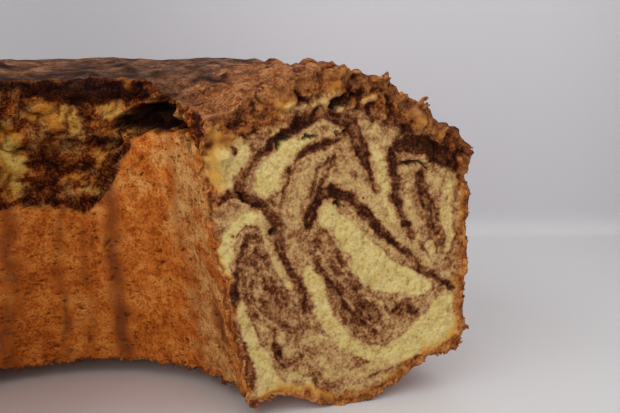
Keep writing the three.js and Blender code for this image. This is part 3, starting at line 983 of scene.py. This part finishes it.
class Sheet:
    """A node tree with short ways to add and join its nodes."""

    def __init__(self, tree):
        self.tree = tree

    def add(self, kind, **settings):
        node = self.tree.nodes.new("ShaderNode" + kind)
        for key, value in settings.items():
            setattr(node, key, value)
        return node

    def plug(self, value, socket):
        if isinstance(value, bpy.types.NodeSocket):
            self.tree.links.new(value, socket)
        else:
            socket.default_value = value

    def math(self, how, a, b=0.0, clamp=False):
        node = self.add("Math", operation=how, use_clamp=clamp)
        for value, socket in zip((a, b), node.inputs):
            self.plug(value, socket)
        return node.outputs[0]

    def remap(self, value, low, high, to_low=0.0, to_high=1.0):
        node = self.add("MapRange", interpolation_type="SMOOTHSTEP")
        for item, socket in zip((value, low, high, to_low, to_high), node.inputs):
            self.plug(item, socket)
        return node.outputs[0]

    def mix(self, share, a, b, blend="MIX"):
        node = self.add("Mix", data_type="RGBA", blend_type=blend)
        self.plug(share, node.inputs[0])
        self.plug(a, node.inputs[6])
        self.plug(b, node.inputs[7])
        return node.outputs[2]

    def noise(self, place, size_mm, detail=2.0, rough=0.5, warp=0.0):
        node = self.add("TexNoise")
        self.plug(place, node.inputs["Vector"])
        node.inputs["Scale"].default_value = 1 / (size_mm * MM)
        node.inputs["Detail"].default_value = detail
        node.inputs["Roughness"].default_value = rough
        node.inputs["Distortion"].default_value = warp
        return node.outputs[0]

    def cells(self, place, size_mm):
        node = self.add("TexVoronoi", feature="F1")
        self.plug(place, node.inputs["Vector"])
        node.inputs["Scale"].default_value = 1 / (size_mm * MM)
        return node.outputs["Distance"]

    def ramp(self, value, stops):
        node = self.add("ValToRGB")
        self.plug(value, node.inputs[0])
        line = node.color_ramp.elements
        for stop, (at, colour) in zip(line, (stops[0], stops[-1])):
            stop.position = at
            stop.color = shade(colour)
        for at, colour in stops[1:-1]:
            line.new(at).color = shade(colour)
        return node.outputs[0]

    def field(self, name):
        return self.add("Attribute", attribute_name=name).outputs["Fac"]

    def place(self):
        return self.add("TexCoord").outputs["Object"]

    def along(self, direction, start):
        """Distance in metres from a start, measured along a direction."""
        node = self.add("VectorMath", operation="DOT_PRODUCT")
        self.plug(self.place(), node.inputs[0])
        node.inputs[1].default_value = direction
        return self.math("SUBTRACT", node.outputs["Value"], direction.dot(start))

    def group(self, tree, **values):
        node = self.add("Group")
        node.node_tree = tree
        for key, value in values.items():
            self.plug(value, node.inputs[key.replace("_", " ")])
        return node.outputs


def shade(rgb):
    """A colour socket's value from a display colour of 0 to 255."""
    linear = [c / 255 / 12.92 if c <= 10 else ((c / 255 + 0.055) / 1.055) ** 2.4 for c in rgb]
    return (*linear, 1.0)


def new_group(name, inputs, outputs):
    """An empty node group with its named sockets, and the sheet to fill it."""
    tree = bpy.data.node_groups.new(name, "ShaderNodeTree")
    for direction, sockets in (("INPUT", inputs), ("OUTPUT", outputs)):
        for label, kind in sockets:
            tree.interface.new_socket(name=label, in_out=direction, socket_type="NodeSocket" + kind)
    sheet = Sheet(tree)
    return tree, sheet, tree.nodes.new("NodeGroupInput"), tree.nodes.new("NodeGroupOutput")


def crumb_grain_group():
    """Grain of baked batter: a height, a mottle and a mask of small pores."""
    tree, s, given, out = new_group("crumb_grain", [("Place", "Vector"), ("Openness", "Float")],
                                    [("Height", "Float"), ("Mottle", "Float"), ("Pores", "Float")])
    place, openness = given.outputs["Place"], given.outputs["Openness"]
    fine = s.noise(place, 0.8, 3, 0.6)
    coarse = s.noise(place, 2.8, 3, 0.6, 0.5)
    gate = s.remap(s.noise(place, 3.5, 1), 0.5, 0.62)
    pores = s.math("MULTIPLY", s.remap(s.cells(place, 1.9), 0.3, 0.1), gate)
    pores = s.math("MULTIPLY", pores, openness, clamp=True)
    blend = s.math("ADD", s.math("MULTIPLY", fine, 0.55), s.math("MULTIPLY", coarse, 0.45))
    s.plug(s.math("SUBTRACT", blend, s.math("MULTIPLY", pores, 0.12)), out.inputs["Height"])
    s.plug(s.remap(blend, 0.36, 0.64), out.inputs["Mottle"])
    s.plug(pores, out.inputs["Pores"])
    return tree


def batter_group():
    """Colour of baked batter from its cocoa: 0 yellow to 1 dark chocolate."""
    tree, s, given, out = new_group("batter", [("Cocoa", "Float"), ("Mottle", "Float"),
                                               ("Strength", "Float")], [("Color", "Color")])
    cocoa = given.outputs["Cocoa"]
    richer = s.remap(cocoa, 0.1, 0.5, 0.25, 1.0)
    spread = s.math("MULTIPLY", s.math("SUBTRACT", given.outputs["Mottle"], 0.5),
                    s.math("MULTIPLY", given.outputs["Strength"], richer))
    s.plug(s.ramp(s.math("SUBTRACT", cocoa, spread, clamp=True), BATTER_COLOURS),
           out.inputs["Color"])
    return tree


def new_material(name):
    """A material with its sheet and its shader."""
    material = bpy.data.materials.new(name)
    material.use_nodes = True
    sheet = Sheet(material.node_tree)
    shader = material.node_tree.nodes["Principled BSDF"]
    return material, sheet, shader


def bump(s, shader, height, strength, distance_mm):
    """Joins a height to the shader's normal."""
    node = s.add("Bump")
    node.inputs["Strength"].default_value = strength
    node.inputs["Distance"].default_value = distance_mm * MM
    s.plug(height, node.inputs["Height"])
    s.plug(node.outputs[0], shader.inputs["Normal"])


def sway(s, value, mottle, amount):
    """A mask that the mottle pushes up and down."""
    return s.math("ADD", value, s.math("MULTIPLY", s.math("SUBTRACT", mottle, 0.5), amount))


def hollows(s, colour, mottle):
    """Warm shade in the small hollows of the surface, and a little in the grain."""
    colour = s.mix(1.0, colour, s.ramp(mottle, GRAIN_SHADE), "MULTIPLY")
    shaded = s.mix(1.0, colour, shade(HOLLOW_SHADE), "MULTIPLY")
    return s.mix(s.remap(sway(s, s.field("shade"), mottle, -0.3), 0.1, 1.0), colour, shaded)


def sponge_material(look, grain, batter):
    """The cut crumb: marbled batter, pores, toasted edge."""
    material, s, shader = new_material("cut_sponge")
    place = s.place()
    body = s.group(grain, Place=place, Openness=1.0)
    mottle = body["Mottle"]

    # Marbled batter, a little creamy where it is plain yellow
    colour = s.group(batter, Cocoa=s.field("cocoa"), Mottle=mottle, Strength=0.3)["Color"]
    plain = s.remap(s.field("cocoa"), 0.3, 0.05, 0.0, 0.4)
    cream = s.math("MULTIPLY", s.remap(s.noise(place, 6, 2), 0.42, 0.62), plain)
    colour = s.mix(cream, colour, s.mix(0.5, colour, shade(CREAM)))

    # Browned rim and rind
    toast = sway(s, s.field("toast"), mottle, 0.3)
    colour = s.mix(1.0, colour, s.ramp(toast, TOASTING), "MULTIPLY")
    clumps = s.remap(s.noise(place, 4.5, 3, 0.6), 0.36, 0.64)
    clumps = s.math("ADD", s.math("MULTIPLY", clumps, 0.65), s.math("MULTIPLY", mottle, 0.35))
    scorch_and_shadow = s.remap(s.field("char"), 0.0, 1.0, 0.0, 0.9)
    rind = s.mix(scorch_and_shadow, s.ramp(clumps, RIND), shade(RIND_SCORCHED))
    colour = s.mix(s.remap(toast, 0.45, 0.95, 0.0, 0.92), colour, rind)

    # Specks, and painted shade in the pores and gaps
    speckle = s.remap(s.noise(place, 1.3, 2, 0.7), 0.56, 0.7)
    colour = s.mix(s.math("MULTIPLY", speckle, 0.13), colour, shade(SPECKLE))
    colour = s.mix(s.math("MULTIPLY", body["Pores"], 0.15), colour, shade(PORE_SHADE))
    colour = s.mix(s.math("MULTIPLY", s.field("deep"), 0.85), colour, shade(CRUMB_GAP_SHADE))
    colour = hollows(s, colour, mottle)
    s.plug(colour, shader.inputs["Base Color"])
    shader.inputs["Roughness"].default_value = look.crumb_roughness
    shader.inputs["Specular IOR Level"].default_value = 0.1
    bump(s, shader, body["Height"], 0.8, 1.0)
    return material


def skin_material(look, grain, batter):
    """Everything that was baked against the tin or the oven's air."""
    material, s, shader = new_material("baked_skin")
    place = s.place()
    body = s.group(grain, Place=place, Openness=0.8)
    mottle = body["Mottle"]
    slow = s.remap(s.noise(place, 8, 4, 0.6), 0.32, 0.68)
    tone = s.math("ADD", s.math("MULTIPLY", slow, 0.5), s.math("MULTIPLY", mottle, 0.5))
    cocoa, toast = s.field("cocoa"), s.field("toast")

    # Batter that tore as it rose
    colour = s.group(batter, Cocoa=cocoa, Mottle=mottle, Strength=0.4)["Color"]
    colour = s.mix(1.0, colour, s.ramp(slow, BROWNING), "MULTIPLY")

    # Wall baked against the tin, with wide shallow pits, bumped in and darkened with painted shade
    flat = s.add("VectorMath", operation="MULTIPLY")
    s.plug(place, flat.inputs[0])
    flat.inputs[1].default_value = (1, 1, 2.2)
    wide = flat.outputs[0]
    pits = s.math("MULTIPLY", s.remap(s.cells(wide, 3.2), 0.3, 0.12),
                  s.remap(s.noise(wide, 5, 2), 0.46, 0.58))
    golden = s.remap(sway(s, toast, slow, 0.7), 0.1, 1.0)
    wall = s.mix(golden, s.ramp(tone, WALL_BROWN), s.ramp(tone, WALL_GOLD))
    stained = s.remap(sway(s, cocoa, mottle, 0.6), 0.15, 0.85)
    wall = s.mix(s.math("MULTIPLY", stained, 0.85), wall, shade(WALL_STAIN))
    wall = s.mix(s.math("MULTIPLY", pits, 0.6), wall, shade(WALL_PIT_SHADE))
    colour = s.mix(s.remap(sway(s, s.field("tin"), mottle, 0.5), 0.3, 0.7), colour, wall)

    # Crust, smooth and dull or craggy and warm, and burnt in places
    warm = s.remap(sway(s, toast, slow, 0.6), 0.35, 0.85)
    crust = s.mix(warm, s.ramp(tone, CRUST_DULL), s.ramp(tone, CRUST_WARM))
    burnt = s.remap(sway(s, s.field("char"), mottle, 0.5), 0.25, 0.85)
    crust = s.mix(burnt, crust, shade(BURNT))
    crust_share = s.remap(sway(s, s.field("crust"), mottle, 0.3), 0.3, 0.7)
    colour = s.mix(crust_share, colour, crust)
    # Painted shade in the gaps and folds, and painted shadow under the flap
    colour = s.mix(s.math("MULTIPLY", s.field("deep"), 0.9), colour, shade(DEEP_GAP_SHADE))
    colour = hollows(s, colour, mottle)
    s.plug(colour, shader.inputs["Base Color"])
    glossy = s.math("MULTIPLY", crust_share, s.remap(s.noise(place, 4, 3), 0.4, 0.6))
    s.plug(s.remap(glossy, 0.0, 1.0, 0.9, look.crust_roughness), shader.inputs["Roughness"])
    shader.inputs["Specular IOR Level"].default_value = 0.12
    bump(s, shader, s.math("SUBTRACT", body["Height"], s.math("MULTIPLY", pits, 0.5)), 1.0, 1.0)
    return material


def crumb_material(grain, batter):
    """Loose crumbs: browned batter, a different tone from place to place."""
    material, s, shader = new_material("loose_crumb")
    place = s.place()
    body = s.group(grain, Place=place, Openness=0.5)
    tone = s.noise(place, 9, 2)
    colour = s.group(batter, Cocoa=s.remap(tone, 0.3, 0.7, 0.3, 0.9), Mottle=body["Mottle"],
                     Strength=0.4)["Color"]
    colour = s.mix(1.0, colour, shade(CRUMB_TOAST), "MULTIPLY")
    s.plug(colour, shader.inputs["Base Color"])
    shader.inputs["Roughness"].default_value = 0.9
    bump(s, shader, body["Height"], 0.6, 0.3)
    return material


# ---- Settings ------------------------------------------------------------------------------

class CakeLook(bpy.types.PropertyGroup):
    """Finish of the cake."""
    crumb_roughness: FloatProperty(name="Crumb roughness",
                                   description="How matte the cut sponge is",
                                   default=0.9, min=0, max=1, subtype="FACTOR")
    crust_roughness: FloatProperty(name="Crust roughness",
                                   description="How matte the smooth crust is",
                                   default=0.55, min=0, max=1, subtype="FACTOR")
    crumb_count: IntProperty(name="Crumbs", description="Loose crumbs that cling to the cake",
                             default=560, min=0)
    crumb_size: FloatProperty(name="Crumb size", description="Radius of a common loose crumb",
                              default=0.36 * MM, unit="LENGTH", precision=5)


class StudioLook(bpy.types.PropertyGroup):
    """Table, wall, backdrop and camera."""
    table_colour: FloatVectorProperty(name="Table", description="Colour of the table top",
                                      default=shade(TABLE)[:3], size=3, subtype="COLOR")
    wall_colour: FloatVectorProperty(name="Wall", description="Colour of the wall behind",
                                     default=shade(WALL)[:3], size=3, subtype="COLOR")
    camera_distance: FloatProperty(name="Camera distance", description="From the ring's axis",
                                   default=252.6 * MM, unit="LENGTH")
    camera_bearing: FloatProperty(name="Camera bearing", description="Where it stands round the axis",
                                  default=math.radians(-120.6), unit="ROTATION")
    camera_heading: FloatProperty(name="Camera heading", description="Which way it looks",
                                  default=math.radians(44.2), unit="ROTATION")
    camera_height: FloatProperty(name="Camera height", description="Above the table",
                                 default=119.1 * MM, unit="LENGTH")
    camera_pitch: FloatProperty(name="Camera pitch", description="How far it looks down",
                                default=math.radians(12), unit="ROTATION")
    lens: FloatProperty(name="Lens", description="Focal length in mm", default=55.2, min=1)
    # Reach of the backdrop's painted shade
    shade_reach: FloatProperty(name="Fade reach", description="The backdrop is darkest this far out",
                              default=210 * MM, unit="LENGTH")
    table_reach: FloatProperty(name="Table reach", description="From the camera to the wall",
                               default=495 * MM, unit="LENGTH")


# ---- Operators -----------------------------------------------------------------------------

class CAKE_OT_sponge(bpy.types.Operator):
    """Make the ring of sponge with its crust and two cut faces"""
    bl_idname = "marble_cake.sponge"
    bl_label = "Make the cake"

    def execute(self, context):
        points, quads, triangles, values = build_cake_arrays()
        cake = new_object("marbled_ring", points, quads.tolist() + triangles.tolist())
        mesh = cake.data
        for name, numbers in values.items():
            store = mesh.attributes.new(name, "FLOAT", "POINT")
            store.data.foreach_set("value", numbers.astype(np.float32))
        grain, batter = crumb_grain_group(), batter_group()
        look = context.scene.cake_look
        mesh.materials.append(skin_material(look, grain, batter))
        mesh.materials.append(sponge_material(look, grain, batter))
        sides = np.zeros(len(mesh.polygons), np.int32)
        sides[len(quads):] = 1
        mesh.polygons.foreach_set("material_index", sides)
        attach(cake, "root")
        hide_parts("cake")
        return {"FINISHED"}


def unit_crumb():
    """Points and triangles of a round crumb of radius 1."""
    ball = bmesh.new()
    bmesh.ops.create_icosphere(ball, subdivisions=2, radius=1)
    points = np.array([v.co[:] for v in ball.verts])
    faces = np.array([[v.index for v in f.verts] for f in ball.faces])
    ball.free()
    return points, faces


def vertex_numbers(mesh, name):
    """A vector of each of the mesh's vertices, as rows of three."""
    numbers = np.empty(len(mesh.vertices) * 3, np.float32)
    mesh.vertices.foreach_get(name, numbers)
    return numbers.reshape(-1, 3)


def crumb_places(total):
    """Where crumbs may sit on the ring: point numbers, share of the crumbs, and scale."""
    def rows(zone, steps):
        return np.array([i * AROUND + zone_start(zone) + k for i in range(RINGS) for k in steps])

    section = np.arange(AROUND)
    rims = np.concatenate([section, (RINGS - 1) * AROUND + section])
    cut_faces = np.arange(RINGS * AROUND, total)
    return ((rows("hollow", (-1, 0, 1, 2)), 0.42, 1.7), (rims, 0.4, 1.0),
            (rows("lip", (2, 4, 6)), 0.12, 1.3), (cut_faces, 0.06, 0.8))


class CAKE_OT_crumbs(bpy.types.Operator):
    """Make the small crumbs that cling to the cake's edges and faces"""
    bl_idname = "marble_cake.crumbs"
    bl_label = "Make the crumbs"

    def execute(self, context):
        look = context.scene.cake_look
        mesh = bpy.data.objects["marbled_ring"].data
        spots = vertex_numbers(mesh, "co") / MM
        normals = vertex_numbers(mesh, "normal")
        rng = np.random.default_rng(CRUMB_SEED)
        base_points, base_faces = unit_crumb()
        made = []
        for numbers, share, scale in crumb_places(len(spots)):
            for pick in rng.choice(numbers, int(look.crumb_count * share), replace=False):
                size = look.crumb_size / MM * scale * float(rng.lognormal(0, 0.4))
                stretch = size * rng.uniform(0.6, 1.3, 3)
                turn = np.array(Euler(rng.uniform(0, 6.28, 3)).to_matrix())
                rough = 1 + 0.5 * lattice_noise(base_points + rng.uniform(0, 50, 3), 1.0, 5)
                placed = (base_points * rough[:, None] * stretch) @ turn.T
                placed += spots[pick] + normals[pick] * size * 0.1
                placed[:, 2] = np.maximum(placed[:, 2], 0.05)
                made.append(placed)
        for angle, radius, height, size, stretch, tilt in LARGE_CRUMBS:
            rough = 1 + 0.5 * lattice_noise(base_points + size * 9, 1.0, 5)
            shape = base_points * rough[:, None] * size * np.array(stretch)
            turn = np.array(Euler((0, math.radians(tilt), math.radians(FIRST_CUT))).to_matrix())
            made.append(shape @ turn.T + ring_point(radius, angle, height))
        faces = [base_faces + k * len(base_points) for k in range(len(made))]
        crumbs = new_object("loose_crumbs", np.vstack(made), np.vstack(faces).tolist())
        groups = bpy.data.node_groups
        crumbs.data.materials.append(crumb_material(groups["crumb_grain"], groups["batter"]))
        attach(crumbs, "root")
        return {"FINISHED"}


class CAKE_OT_studio(bpy.types.Operator):
    """Set the table, the wall, the lights and the camera"""
    bl_idname = "marble_cake.studio"
    bl_label = "Set the studio"

    def execute(self, context):
        look = context.scene.studio_look
        axis = Vector((0, AXIS_Y * MM, 0))
        bearing = Vector((math.cos(look.camera_bearing), math.sin(look.camera_bearing), 0))
        ahead = Vector((math.cos(look.camera_heading), math.sin(look.camera_heading), 0))
        right = Vector((ahead.y, -ahead.x, 0))
        stand = axis + bearing * look.camera_distance
        body = bpy.data.cameras.new("camera")
        body.lens = look.lens
        body.sensor_width = 36
        body.clip_start = 0.01
        body.clip_end = 20
        camera = bpy.data.objects.new("camera", body)
        camera.location = stand + Vector((0, 0, look.camera_height))
        level = math.pi / 2
        camera.rotation_euler = (level - look.camera_pitch, 0, look.camera_heading - level)
        context.scene.collection.objects.link(camera)
        context.scene.camera = camera

        self.backdrop(look, stand, ahead, right)
        starts = {"camera": stand, "ring": axis}
        for name, start, (forward, sideways, up), power, size in LAMPS:
            spot = starts[start] + ahead * forward + right * sideways + Vector((0, 0, up))
            self.lamp(name, spot, axis, power, size)
        world = bpy.data.worlds.new("room")
        world.use_nodes = True
        room = world.node_tree.nodes["Background"]
        room.inputs["Color"].default_value = shade(ROOM_LIGHT)
        room.inputs["Strength"].default_value = ROOM_STRENGTH
        context.scene.world = world
        context.scene.view_settings.view_transform = "Standard"
        return {"FINISHED"}

    def backdrop(self, look, stand, ahead, right):
        """Table that sweeps up into a wall, seen from the front only."""
        back, side, front, tall, bend = look.table_reach, 1.6, 1.2, 1.4, 0.012
        profile = [(-front, 0.0)]
        for k in range(9):
            t = math.radians(90 * k / 8)
            profile.append((back - bend + bend * math.sin(t), bend - bend * math.cos(t)))
        profile.append((back, tall))
        points, faces = [], []
        for along, up in profile:
            for across in (-side, side):
                spot = stand + ahead * along + right * across
                points.append((spot.x, spot.y, up))
        for k in range(len(profile) - 1):
            faces.append((2 * k, 2 * k + 1, 2 * k + 3, 2 * k + 2))
        sweep = new_object("studio_sweep", np.array(points) / MM, faces)
        material, s, shader = new_material("studio_paint")
        height = s.add("SeparateXYZ")
        s.plug(s.place(), height.inputs[0])
        colour = s.mix(s.remap(height.outputs["Z"], 0.0, 0.008),
                       (*look.table_colour, 1), (*look.wall_colour, 1))

        # Painted shade: darker towards both sides and the back
        off_middle = s.along(right, stand + right * 0.07)
        shade_share = s.remap(s.math("ABSOLUTE", off_middle), 0.04, look.shade_reach)
        shade_share = s.math("MULTIPLY", shade_share, s.remap(s.along(ahead, stand), 0.2, 0.45))
        colour = s.mix(s.math("MULTIPLY", shade_share, BACKDROP_SHADE), colour, shade((0, 0, 0)))
        s.plug(colour, shader.inputs["Base Color"])
        shader.inputs["Roughness"].default_value = 0.6

        # Clear from behind, so that it hides nothing
        clear = s.add("BsdfTransparent")
        choice = s.add("MixShader")
        s.plug(s.add("NewGeometry").outputs["Backfacing"], choice.inputs[0])
        s.plug(shader.outputs[0], choice.inputs[1])
        s.plug(clear.outputs[0], choice.inputs[2])
        s.plug(choice.outputs[0], s.tree.nodes["Material Output"].inputs[0])
        sweep.data.materials.append(material)

    def lamp(self, name, spot, target, power, size):
        """A soft square lamp that faces a point."""
        light = bpy.data.lights.new(name, "AREA")
        light.energy = power
        light.size = size
        lamp = bpy.data.objects.new(name, light)
        lamp.location = spot
        lamp.rotation_euler = (target - spot).to_track_quat("-Z", "Y").to_euler()
        bpy.context.scene.collection.objects.link(lamp)


class CAKE_PT_panel(bpy.types.Panel):
    """Makers of the cake's pieces"""
    bl_label = "Marble ring cake"
    bl_idname = "CAKE_PT_panel"
    bl_space_type = "VIEW_3D"
    bl_region_type = "UI"
    bl_category = "Cake"

    def draw(self, context):
        for operator in OPERATORS:
            self.layout.operator(operator.bl_idname)
        for settings in (context.scene.cake_look, context.scene.studio_look):
            for name in settings.__annotations__:
                self.layout.prop(settings, name)


OPERATORS = (CAKE_OT_studio, CAKE_OT_sponge, CAKE_OT_crumbs)
CLASSES = (CakeLook, StudioLook, *OPERATORS, CAKE_PT_panel)


def register():
    for item in CLASSES:
        bpy.utils.register_class(item)
    bpy.types.Scene.cake_look = PointerProperty(type=CakeLook)
    bpy.types.Scene.studio_look = PointerProperty(type=StudioLook)


def unregister():
    del bpy.types.Scene.studio_look
    del bpy.types.Scene.cake_look
    for item in reversed(CLASSES):
        bpy.utils.unregister_class(item)


def main():
    register()
    bpy.ops.marble_cake.studio()
    bpy.ops.marble_cake.sponge()
    bpy.ops.marble_cake.crumbs()


if __name__ == "__main__":
    main()
